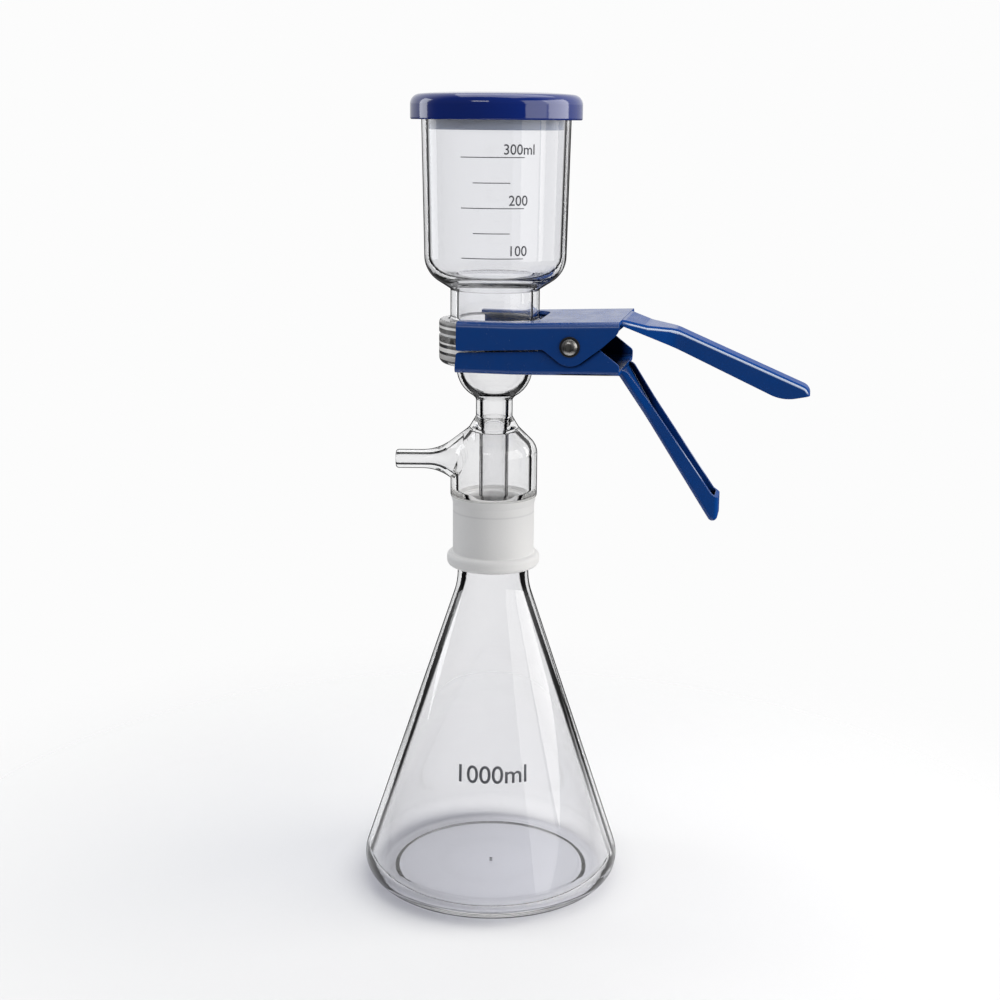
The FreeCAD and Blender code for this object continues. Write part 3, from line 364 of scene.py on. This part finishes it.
def glass(name, clear, shade_through, line, frost=None, bands=None, foot=None, panes=()):
    """Clear borosilicate, a little grey, with painted shade: the dark lines that its walls show against a
    white room.

    clear is its colour and shade_through what one surface leaves of the light that passes on to a shadow.
    line is ((low z, width), (high z, width)) in metres: how wide the painted shade line is where light is
    first turned back by the inside of the wall. It starts at 1 - cos of the critical angle on the layer
    weight and, for a bore of radius r, widens by LINE_SPREAD r a unit of it. The painted shade outline of a
    wall of radius r is dark where the layer weight passes 1 - sqrt(2 width / r). frost, if given, is (low z,
    high z) of the ground glass. bands, if given, are painted reflections: the stripes of a thick rim, (mm
    above the flanges' joint, grey). foot, if given, is (height, grey) of the thick level glass. panes are
    (from, to, gloss, brightness) in degrees about the axis: where the wall shines less, and how much clearer
    or greyer its colour is painted there, as painted reflections.
    """
    shader = Glass(name)
    # painted shade: dark lines along the walls' edges
    lines = shader.dark_lines(line, foot is not None)
    clear = shader.mix(shader.ramp(shader.facing, -0.05, 0.5), clear, tuple(part * THICKER for part in clear))
    if panes:
        shine, clear = shader.window_panes(panes, clear)
        shader.set(Specular_Tint=shine)
    if foot is not None:
        clear, lines = shader.foot(*foot, clear, lines)
    open_way = shader.rest(lines)
    smears = shader.noise(30 * MM, 4.0, 0.6)
    waves = shader.noise(50 * MM, 1.0, 0.4, (1, 1, 2.5))
    shader.set(IOR=GLASS_IOR, Base_Color=shader.mix(lines, clear, PAINTED_SHADE_LINE), Transmission_Weight=open_way,
               Specular_IOR_Level=shader.times(open_way, 0.5), Normal=shader.bump(waves, 0.15, 2 * MM),
               Roughness=shader.ramp(smears, 0.45, 0.8, 0.0, 0.02))

    shown = shader.surface.outputs[0]
    to_lamp = shader.add("ShaderNodeLightPath").outputs["Is Shadow Ray"]
    if bands is not None:
        shown = shader.painted_rim_reflections(bands, shown)
    if frost is not None:
        shown, mask = shader.ground(*frost, shown)
        to_lamp = shader.times(to_lamp, shader.rest(mask))
    left_over = shader.mix(shader.ramp(shader.facing, 0.5, 0.97), shade_through, SHADOW_EDGE)
    if foot is not None:
        left_over = shader.mix(shader.ramp(shader.z, 22 * MM, 10 * MM), left_over, SHADOW_FOOT)
    clear_way = shader.add("ShaderNodeBsdfTransparent", Color=left_over)
    shader.show(shader.between(to_lamp, shown, clear_way.outputs[0]))
    return shader.material


# painted reflections: the stripes of the thick flange rims, each (mm above the flanges' joint, grey)
HEAD_RIM_REFLECTIONS = ((-14.2, 0.02), (-11.9, 0.05), (-11.6, 0.6), (-9.3, 0.7), (-9.0, 0.02), (-7.9, 0.03),
              (-7.6, 1.0), (-5.9, 1.0), (-5.6, 0.02), (-4.2, 0.04), (-3.9, 1.0), (-3.3, 1.0), (-3.0, 0.03),
              (-0.1, 0.1))
CUP_RIM_REFLECTIONS = ((1.3, 0.2), (3.5, 0.1), (3.8, 1.0), (4.8, 1.0), (5.1, 0.03), (5.9, 0.1), (6.2, 0.34),
             (7.3, 0.5))
# painted reflections: azimuth bands where the cup's wall is painted brighter or greyer and shines less:
# (from, to, gloss, brightness)
CUP_PANES = ((-66, -40, 1.0, 1.035), (-39, -6, 0.1, 0.985), (-152, -126, 0.25, 0.985))

flask_glass = glass("flask_glass", (0.927, 0.927, 0.937), (0.84, 0.85, 0.88),
                    line=((40 * MM, 0.35 * MM), (150 * MM, 2.2 * MM)),
                    frost=(SLEEVE_FOOT + 16 * MM, CONE_TOP + MM), foot=(6 * MM, 0.92))
head_glass = glass("head_glass", (0.94, 0.94, 0.945), (0.97, 0.97, 0.975),
                   line=((215 * MM, 0.8 * MM), (262 * MM, 1.5 * MM)),
                   frost=(SLEEVE_FOOT - MM, CONE_TOP + 0.6 * MM), bands=HEAD_RIM_REFLECTIONS)
cup_glass = glass("cup_glass", (0.905, 0.908, 0.925), (0.95, 0.95, 0.96),
                  line=((300 * MM, 0.6 * MM), (330 * MM, 0.4 * MM)), bands=CUP_RIM_REFLECTIONS, panes=CUP_PANES)


# ---- Paint, plastic, metal and paper ------------------------------------------------------------

def plain(name, colour, second, roughness, grain, bump_size, bump_strength):
    """A finish in two close colours mottled together, with its roughness varied and a fine bump."""
    shader = Shader(name)
    mottle = shader.noise(grain, 4.0, 0.6)
    fine = shader.noise(bump_size, 2.0, 0.5)
    shader.finish(mottle, shader.mix(mottle, colour, second), roughness,
                  shader.bump(fine, bump_strength, bump_size * 0.15))
    return shader.material


def brushed(name, colour, second, roughness, stretch):
    """Metal with fine lines: noise drawn out along one axis drives colour, roughness and bump."""
    shader = Shader(name)
    lines = shader.noise(0.4 * MM, 3.0, 0.6, stretch)
    shader.finish(lines, shader.mix(lines, colour, second), roughness, shader.bump(lines, 0.2, 0.05 * MM))
    shader.set(Metallic=1.0)
    return shader.material


JAWS_END = 37 * MM                                       # x past which painted shade from other pieces darkens the paint
GRIPS_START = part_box("upper_jaw")[1].x - 92 * MM         # x past which the painted highlights on the grips' edges grow to full
# painted highlight: the pale blue laid along the jaws' edges where they catch the light
EDGE_HIGHLIGHT = (0.62, 0.70, 0.86)
OPENS = 32.5 * DEGREE                                    # how far above +X the lower grip's channel opens


def painted_edge_highlights(shader, turned, jaw):
    """Painted highlight: 1 on a jaw's long bent edges, less on its channel's rims, and little before the
    grips start.

    turned is the rounded normal, which leans up from sideways along a bent edge. The rims begin a short way
    past the lower far corner of the jaw's box, measured in the direction that the channel opens to.
    """
    low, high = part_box(jaw)
    rim = low.z * math.sin(OPENS) + high.x * math.cos(OPENS) + 3 * MM
    bent = shader.times(shader.within(shader.math("ABSOLUTE", turned[1]), 0.74, 0.96, 0.03),
                        shader.ramp(turned[2], 0.05, 0.25))
    out = shader.plus(shader.times(shader.x, math.cos(OPENS)), shader.times(shader.z, math.sin(OPENS)))
    rim_highlight = shader.times(shader.ramp(turned[0], 0.5, 0.7), shader.ramp(out, rim, rim + MM),
                        shader.ramp(shader.x, high.x - 7 * MM, high.x - 10 * MM), 0.6)
    return shader.times(shader.larger(bent, rim_highlight),
                        shader.ramp(shader.x, GRIPS_START, GRIPS_START + 6 * MM, 0.06, 1.0))


def shut_away(shader, cheek):
    """Painted shade: what is left of the light on the outside of cheeks this far out, where another piece
    passes over them, and in the channel between them."""
    out = shader.math("ABSOLUTE", shader.y)
    channel = shader.times(shader.ramp(out, cheek - 0.8 * MM, cheek - MM),
                           shader.within(shader.x, JAWS_END, JAWS_END + 26 * MM, 2.5 * MM), 0.95)
    passed_over = shader.times(shader.ramp(out, cheek - 0.4 * MM, cheek - 0.2 * MM),
                               shader.ramp(shader.openness(4.5 * MM, 8), 0.9, 0.55))
    return shader.times(shader.rest(channel), shader.rest(passed_over))


def painted(name, colour, second, roughness, gloss=0.5, inner=None, jaw=None, cheek=None):
    """Even paint or moulded plastic, a little mottled, with painted shade in its own hollows.

    inner, if given, is (height, radius, colour): the colour below and within these, painted paler for a part
    seen through glass. jaw, if given, is the node of a clamp half in folded sheet: painted highlights lie
    along its edges, what faces +X hardly shines, and painted shade darkens it where other pieces close it in.
    cheek, if given, is how far out its cheeks are where another piece passes over them, and painted shade
    lies there.
    """
    shader = Shader(name)
    mottle = shader.noise(8 * MM, 4.0, 0.6)
    tone = shader.mix(mottle, colour, second)
    # painted shade: the colour darkens in the piece's own hollows
    light = shader.ramp(shader.openness(12 * MM, 6, only_local=True), 0.15, 0.8, 0.05, 1.0)
    rounded = shader.add("ShaderNodeBevel", samples=6, Radius=0.35 * MM).outputs[0]
    if inner is not None:
        # painted light: the inner colour stands in for the look of the part through glass
        height, reach, shown = inner
        inside = shader.times(shader.ramp(shader.z, height, height - 0.5 * MM),
                              shader.ramp(shader.off_axis(), reach, reach - 0.5 * MM))
        tone = shader.mix(inside, tone, shown)
    if jaw is not None:
        turned = shader.split(rounded)
        # painted highlights along the jaw's edges
        tone = shader.mix(painted_edge_highlights(shader, turned, jaw), tone, EDGE_HIGHLIGHT)
        # painted shade where other pieces close the jaw in
        shut_in_shade = shader.times(shader.ramp(shader.x, JAWS_END, JAWS_END + 3 * MM),
                               shader.ramp(shader.openness(14 * MM, 8), 0.55, 0.3))
        light = shader.times(light, shader.rest(shut_in_shade))
        gloss = shader.ramp(turned[0], 0.15, 0.3, gloss, 0.01)
    if cheek is not None:
        light = shader.times(light, shut_away(shader, cheek))
    grain = shader.noise(0.7 * MM, 2.0, 0.5)
    shader.finish(mottle, shader.mix(light, BLACK, tone), roughness,
                  shader.bump(grain, 0.08, 0.1 * MM, rounded))
    shader.set(Specular_IOR_Level=shader.times(light, gloss))
    return shader.material


PAINT = (0.0052, 0.059, 0.275), (0.0047, 0.055, 0.255), (0.2, 0.28)      # two close blues, and roughness
LID_PLUG = (CUP_TOP + 0.3 * MM, 34 * MM, (0.27, 0.31, 0.41))     # painted reflection: paler, as it is seen through the cup
washer_black = plain("washer_black", (0.012, 0.012, 0.013), (0.02, 0.02, 0.021), (0.4, 0.6),
                     grain=MM, bump_size=0.3 * MM, bump_strength=0.3)
pin_steel = brushed("pin_steel", (0.55, 0.53, 0.50), (0.38, 0.37, 0.36), (0.25, 0.4), (1, 1, 8))
sleeve_steel = brushed("sleeve_steel", (0.5, 0.5, 0.5), (0.36, 0.36, 0.36), (0.3, 0.45), (1, 10, 1))
spring_steel = brushed("spring_steel", (0.42, 0.42, 0.43), (0.3, 0.3, 0.31), (0.25, 0.4), (1, 1, 1))
materials = {
    "flask": flask_glass,
    "filter_head": head_glass,
    "funnel_cup": cup_glass,
    "sintered_disc": plain("sintered_glass", (0.80, 0.80, 0.78), (0.70, 0.70, 0.69), (0.7, 0.9),
                           grain=0.6 * MM, bump_size=0.3 * MM, bump_strength=0.6),
    "membrane_filter": plain("membrane", (0.88, 0.88, 0.87), (0.84, 0.84, 0.83), (0.75, 0.9),
                             grain=2 * MM, bump_size=0.4 * MM, bump_strength=0.3),
    "flange_gasket": plain("gasket", (0.84, 0.84, 0.83), (0.78, 0.78, 0.77), (0.5, 0.65),
                           grain=4 * MM, bump_size=0.5 * MM, bump_strength=0.25),
    "lid": painted("lid_plastic", (0.003, 0.022, 0.20), (0.0025, 0.020, 0.185), (0.05, 0.09), gloss=0.75,
                   inner=LID_PLUG),
    "upper_jaw": painted("clamp_paint", *PAINT, jaw="upper_jaw"),
    "lower_jaw": painted("lower_paint", *PAINT, jaw="lower_jaw", cheek=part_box("lower_jaw")[1].y),
    "pivot_pin": pin_steel,
    "front_washer": washer_black,
    "rear_washer": washer_black,
    "retaining_clip": pin_steel,
    "spring_sleeve": sleeve_steel,
    "torsion_spring": spring_steel,
}
for node, material in materials.items():
    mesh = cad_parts[node].data
    mesh.materials.clear()
    mesh.materials.append(material)


# ---- Printed marks ------------------------------------------------------------------------------

ink = plain("print_ink", (0.075, 0.078, 0.09), (0.12, 0.125, 0.14), (0.5, 0.7),
            grain=1.5 * MM, bump_size=0.3 * MM, bump_strength=0.3)
INK_THICK = 0.04 * MM
INK_LIFT = 0.02 * MM                                     # of a line off the glass; letters lie higher
MARK_WIDE = 0.42 * MM
MARK_STEP = 11.85 * MM                                   # for 50 ml
TOP_MARK = CUP_TOP - 26.9 * MM
LONG_MARK, SHORT_MARK = (-16.2 * DEGREE, 33 * DEGREE), (-6.5 * DEGREE, 22.1 * DEGREE)


def outer_radius(node, height):
    """Radius of a turned piece's outside at this height, by a ray from well outside towards its axis."""
    _, place, _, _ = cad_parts[node].ray_cast(Vector((0, -0.2, height)), Vector((0, 1, 0)))
    return math.hypot(place.x, place.y)


class Cone:
    """The straight-sided outside of a turned piece between two heights."""

    def __init__(self, node, low, high):
        self.low = low
        self.low_radius = outer_radius(node, low)
        self.slope = (outer_radius(node, high) - self.low_radius) / (high - low)
        self.slant = math.hypot(1, self.slope)

    def radius(self, height):
        return self.low_radius + self.slope * (height - self.low)

    def wrap(self, across, up, lift, azimuth, height):
        """Points laid on the cone: across is arc length to the right and up is length along the slant,
        both from the place at azimuth (from -Y towards +X) and height; lift is the distance off the glass."""
        z = height + up / self.slant
        angle = azimuth + across / self.radius(z)
        outward = self.radius(z) + lift / self.slant
        lowered = lift * self.slope / self.slant
        return np.stack([outward * np.sin(angle), -outward * np.cos(angle), z - lowered], -1)


def put(name, data):
    """An object in the scene for this mesh, text, lamp or camera."""
    thing = bpy.data.objects.new(name, data)
    bpy.context.scene.collection.objects.link(thing)
    return thing


def mesh_object(name, points, faces, material):
    mesh = bpy.data.meshes.new(name)
    mesh.from_pydata(points, [], faces)
    mesh.materials.append(material)
    mesh.update()
    return put(name, mesh)


def printed(piece, body):
    """Gives a flat printed piece its thickness and lets it ride."""
    solid = piece.modifiers.new("thickness", "SOLIDIFY")
    solid.thickness = INK_THICK
    solid.offset = 1.0
    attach(piece, body)


def band(name, cone, body, height, left, right):
    """A graduation line: the patch of the cone between two azimuths and within half the width of a height.

    Points lie on a grid of arc length by slant length: each is cone.wrap of its pair.
    """
    reach = (right - left) / 2 * cone.radius(height)
    half = MARK_WIDE / 2
    across, up = np.meshgrid(np.linspace(-reach, reach, 49), np.linspace(-half, half, 3), indexing="ij")
    points = cone.wrap(across.ravel(), up.ravel(), INK_LIFT, (left + right) / 2, height)
    index = np.arange(across.size).reshape(across.shape)
    faces = np.stack([index[:-1, :-1], index[1:, :-1], index[1:, 1:], index[:-1, 1:]], -1).reshape(-1, 4)
    printed(mesh_object(name, points, faces.tolist(), ink), body)


def letters(name, text, cone, body, azimuth, height, size, spread):
    """Text laid on the cone: the flat letters' x, times their spread, and y become arc and slant length.

    Their strokes are made a little bolder by an offset.
    """
    curve = bpy.data.curves.new(name, "FONT")
    curve.body = text
    curve.size = size
    curve.offset = size * 0.008
    curve.align_x = "CENTER"
    curve.resolution_u = 6
    flat = put(name + "_flat", curve)
    bpy.context.view_layer.update()
    mesh = bpy.data.meshes.new_from_object(flat)
    bpy.data.objects.remove(flat)
    points = np.empty(len(mesh.vertices) * 3, np.float32)
    mesh.vertices.foreach_get("co", points)
    points = points.reshape(-1, 3).astype(float)
    wrapped = cone.wrap(points[:, 0] * spread, points[:, 1], INK_LIFT * 1.5, azimuth, height)
    mesh.vertices.foreach_set("co", wrapped.ravel().astype(np.float32))
    mesh.materials.clear()
    mesh.materials.append(ink)
    mesh.update()
    printed(put(name, mesh), body)


# ---- Closing spring -----------------------------------------------------------------------------

WIRE = 0.9 * MM                                          # its radius
COIL_START, COIL_END = 102 * DEGREE, 2050 * DEGREE
COIL_POINTS, ARM_POINTS, WIRE_SIDES = 361, 12, 16


def tube(name, path, across, material):
    """Round wire: at each point of the path, a circle of the wire's radius in the plane of two unit vectors
    square to the path, the first of which is across; its two ends are closed by a fan of faces."""
    step = np.gradient(path, axis=0)
    step /= np.linalg.norm(step, axis=1, keepdims=True)
    across = across - (across * step).sum(1, keepdims=True) * step
    across /= np.linalg.norm(across, axis=1, keepdims=True)
    other = np.cross(step, across)
    turn = np.linspace(0, 2 * np.pi, WIRE_SIDES, endpoint=False)[None, :, None]
    rings = path[:, None] + WIRE * (np.cos(turn) * across[:, None] + np.sin(turn) * other[:, None])
    points = np.concatenate([rings.reshape(-1, 3), path[:1], path[-1:]])
    first, last = len(points) - 2, len(points) - 1
    index = np.arange(first).reshape(len(path), WIRE_SIDES)
    after = np.roll(index, -1, 1)
    faces = np.stack([index[:-1], after[:-1], after[1:], index[1:]], -1).reshape(-1, 4).tolist()
    faces += np.stack([after[0], index[0], np.full(WIRE_SIDES, first)], -1).tolist()
    faces += np.stack([index[-1], after[-1], np.full(WIRE_SIDES, last)], -1).tolist()
    wire = mesh_object(name, points, faces, material)
    wire.data.polygons.foreach_set("use_smooth", np.ones(len(faces), bool))
    return wire


def closing_spring():
    """The clamp's spring: a straight arm, a helix about the pin, and another straight arm.

    The helix runs from the rear to the front as its angle from +X grows; each arm leaves it along its
    tangent.
    """
    low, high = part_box("torsion_spring")
    sleeve_low, sleeve_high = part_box("spring_sleeve")
    pin = (sleeve_low + sleeve_high) / 2
    radius = pin.x - low.x - WIRE
    half = (high.y - low.y) / 2 - WIRE
    angle = np.linspace(COIL_START, COIL_END, COIL_POINTS)
    out = np.stack([np.cos(angle), np.zeros_like(angle), np.sin(angle)], -1)
    helix = np.array(pin) + radius * out
    helix[:, 1] = np.linspace(half, -half, COIL_POINTS)
    arms = []
    for at, forward, level in ((0, -1, high.z), (-1, 1, low.z)):
        way = np.array([-math.sin(angle[at]), 0, math.cos(angle[at])]) * forward
        reach = (abs(level - helix[at, 2]) - WIRE * abs(way[0])) / abs(way[2])
        arms.append(helix[at] + way * reach * np.linspace(0.02, 1, ARM_POINTS)[:, None])
    path = np.concatenate([arms[0][::-1], helix, arms[1]])
    across = np.concatenate([np.repeat(out[:1], ARM_POINTS, 0), out, np.repeat(out[-1:], ARM_POINTS, 0)])
    spring = tube("closing_spring", path, across, spring_steel)
    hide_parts("torsion_spring")
    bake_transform(spring)


cup_cone = Cone("funnel_cup", CUP_TOP - 75 * MM, CUP_TOP - 15 * MM)
flask_cone = Cone("flask", 30 * MM, 140 * MM)
for index, label in enumerate(("300ml", "", "200", "", "100")):
    height = TOP_MARK - index * MARK_STEP
    if label:
        band(f"mark_{label}", cup_cone, "head_body", height, *LONG_MARK)
        azimuth = (29.0 if "ml" in label else 28.5) * DEGREE
        letters(f"number_{label}", label, cup_cone, "head_body", azimuth, height + 1.4 * MM, 6.8 * MM,
                spread=0.94)
    else:
        band(f"mark_{300 - 50 * index}", cup_cone, "head_body", height, *SHORT_MARK)
closing_spring()
letters("capacity", "1000ml", flask_cone, "flask_body", 11 * DEGREE, 69.6 * MM, 12.4 * MM, spread=1.03)


# ---- Studio -------------------------------------------------------------------------------------

LAMPS_TURN = 11.2 * DEGREE                               # where the lamps' azimuths start, from -Y towards +X


def panel(name, azimuth, distance, height, wide, high, radiance, colour=WHITE, aim=0.2):
    """A soft box: an area lamp of this radiance, so many degrees to the right, aimed at the glass axis."""
    lamp = bpy.data.lights.new(name, "AREA")
    lamp.shape = "RECTANGLE"
    lamp.size, lamp.size_y = wide, high
    lamp.energy = radiance * math.pi * wide * high
    lamp.color = colour
    angle = LAMPS_TURN + azimuth * DEGREE
    box = put(name, lamp)
    box.location = (distance * math.sin(angle), -distance * math.cos(angle), height)
    box.rotation_euler = (Vector((0, 0, aim)) - box.location).to_track_quat("-Z", "Y").to_euler()
    box.visible_camera = False
    box.visible_transmission = False


panel("key", 90, distance=1.2, height=0.62, wide=0.87, high=1.0, radiance=3.6, colour=(1, 0.98, 0.95))
panel("key_side", 53.5, distance=1.2, height=0.62, wide=0.71, high=1.0, radiance=1.9, colour=(1, 0.985, 0.96))
panel("rim", -112, distance=1.2, height=0.55, wide=0.40, high=0.9, radiance=3.0, colour=(0.96, 0.98, 1))
panel("overhead", 160, distance=0.25, height=1.7, wide=1.4, high=1.4, radiance=1.85)
panel("fold_strip", -22, distance=1.2, height=0.94, wide=0.5, high=0.22, radiance=4.0, aim=0.3)

BACKDROP = (0.974, 0.974, 0.974)
AMBIENT = (0.31, 0.315, 0.33)


def room():
    """A white backdrop for what is seen directly or through glass, and a dimmer room for the rest.

    Glossy surfaces see a room that is dark at the front, bright behind and dark below the horizon.
    """
    world = bpy.data.worlds.new("studio")
    bpy.context.scene.world = world
    world.use_nodes = True
    nodes = Nodes(world.node_tree)
    ray = nodes.add("ShaderNodeLightPath").outputs
    _, backwards, upwards = nodes.split(nodes.add("ShaderNodeTexCoord").outputs["Generated"])
    reflected = nodes.times(nodes.ramp(backwards, -0.3, 0.6, 0.10, 0.95),
                            nodes.ramp(upwards, -0.12, 0.08, 0.12, 1.0))
    seen_through = nodes.larger(ray["Is Camera Ray"], ray["Is Transmission Ray"])
    soft = nodes.mix(ray["Is Glossy Ray"], AMBIENT, reflected)
    nodes.feed(world.node_tree.nodes["Background"].inputs["Color"], nodes.mix(seen_through, soft, BACKDROP))


def floor_paper():
    """White paper that fades into the backdrop further out, with a painted contact shadow close to what
    stands on it, stronger towards -X, away from the key light.
    """
    shader = Shader("floor_paper")
    grain = shader.noise(2 * MM, 3.0, 0.6)
    paper = shader.mix(grain, (0.93, 0.93, 0.93), (0.945, 0.945, 0.945))
    # painted shadow: darker close to what stands on it, stronger towards -X and weaker under the flask's foot
    painted_contact_shadow = shader.times(shader.ramp(shader.openness(22 * MM, 12), 1.0, 0.35),
                           shader.ramp(shader.x, 30 * MM, -50 * MM, 0.2, 0.6),
                           shader.ramp(shader.off_axis(), 56 * MM, 62 * MM, 0.15, 1.0))
    shader.set(Base_Color=shader.mix(painted_contact_shadow, paper, (0.30, 0.30, 0.34)), Roughness=0.75,
               Specular_IOR_Level=0.2, Normal=shader.bump(grain, 0.1, 0.2 * MM))
    gone = shader.add("ShaderNodeBsdfTransparent").outputs[0]
    shader.show(shader.between(shader.ramp(shader.off_axis(), 0.13, 0.42), shader.surface.outputs[0], gone))
    return shader.material


room()
FLOOR_REACH, FLOOR_LEVEL = 0.8, -0.05 * MM
corners = [(x * FLOOR_REACH, y * FLOOR_REACH, FLOOR_LEVEL) for x, y in ((-1, -1), (1, -1), (1, 1), (-1, 1))]
floor = mesh_object("floor", corners, [(0, 1, 2, 3)], floor_paper())


# ---- Camera -------------------------------------------------------------------------------------

AIM, PITCH, ROLL = 11 * DEGREE, 13.3 * DEGREE, 0.49 * DEGREE
camera_data = bpy.data.cameras.new("camera")
camera_data.lens = 58.32
camera_data.sensor_width = 36
camera_data.clip_start = 0.01
camera_data.clip_end = 20
camera = put("camera", camera_data)
camera.location = (0.1584, -0.7975, 0.3976)
forward = Vector((-math.sin(AIM) * math.cos(PITCH), math.cos(AIM) * math.cos(PITCH), -math.sin(PITCH)))
level = Vector((math.cos(AIM), math.sin(AIM), 0))
above = level.cross(forward)
right = level * math.cos(ROLL) + above * math.sin(ROLL)
up = above * math.cos(ROLL) - level * math.sin(ROLL)
camera.rotation_euler = Matrix((right, up, -forward)).transposed().to_euler()
bpy.context.scene.camera = camera
bpy.context.scene.view_settings.view_transform = "Standard"
